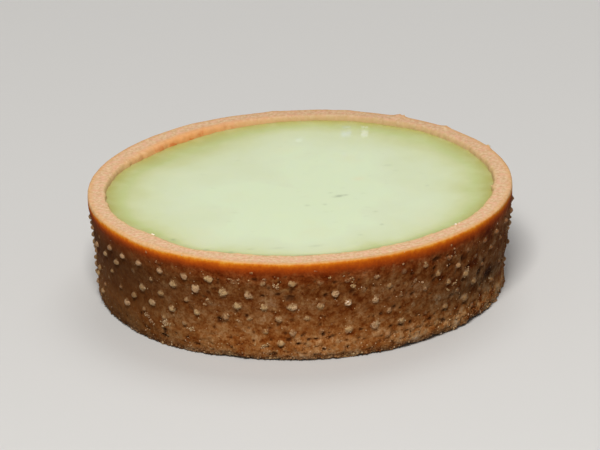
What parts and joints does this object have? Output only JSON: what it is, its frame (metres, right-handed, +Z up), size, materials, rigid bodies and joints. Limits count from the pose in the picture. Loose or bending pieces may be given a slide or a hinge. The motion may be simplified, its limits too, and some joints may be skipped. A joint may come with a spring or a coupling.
{
  "type": "pistachio tart",
  "caption": "Round individual tart: straight-sided baked pastry case with rows of small raised dots, filled almost to the rim with smooth pale green pistachio cream.",
  "frame": {"origin": "centre of the underside, on the surface the tart stands on", "axes": "+Z up through the filling, -Y towards the viewer of the picture, +X to the viewer's right"},
  "size_m": [0.08, 0.08, 0.02],
  "materials": {
    "pastry": "matt baked shortcrust, golden brown with a darker orange-brown band under a pale cut rim and paler raised dots",
    "cream": "smooth set cream, pale pistachio green, softly glossy, yellower green towards the pastry"
  },
  "bodies": {
    "root": {"crust": "pastry", "filling": "cream"}
  },
  "joints": []
}
